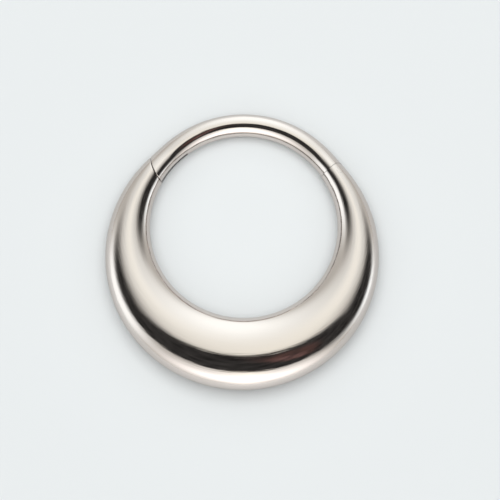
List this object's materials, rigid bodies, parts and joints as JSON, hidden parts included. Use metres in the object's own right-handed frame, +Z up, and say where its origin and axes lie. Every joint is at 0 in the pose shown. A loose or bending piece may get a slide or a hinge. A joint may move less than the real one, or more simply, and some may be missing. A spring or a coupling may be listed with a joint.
{
  "type": "hinged hoop earring",
  "caption": "Polished hinged segment hoop: a crescent thick at the belly, closed by a thin round gate that swings open on a flush hinge pin.",
  "frame": {"origin": "centre of the footprint, on the surface that the ring lies on", "axes": "+Z up out of that surface, +Y towards the gate, +X towards the hinge side"},
  "size_m": [0.0146, 0.015, 0.0024],
  "materials": {
    "polished_metal": "mirror-polished warm white surgical steel",
    "pin_metal": "steel pin, ground and polished flush"
  },
  "bodies": {
    "hoop": {"hoop_body": "polished_metal", "hinge_pin": "pin_metal"},
    "gate": {"gate": "polished_metal"}
  },
  "joints": [
    {"name": "gate_swing", "type": "hinge", "parent": "hoop", "child": "gate", "pos_m": [0.00523, 0.00434, 0.00072], "axis": [0, -0.0462, -0.9989], "range_deg": [0, 65]}
  ]
}
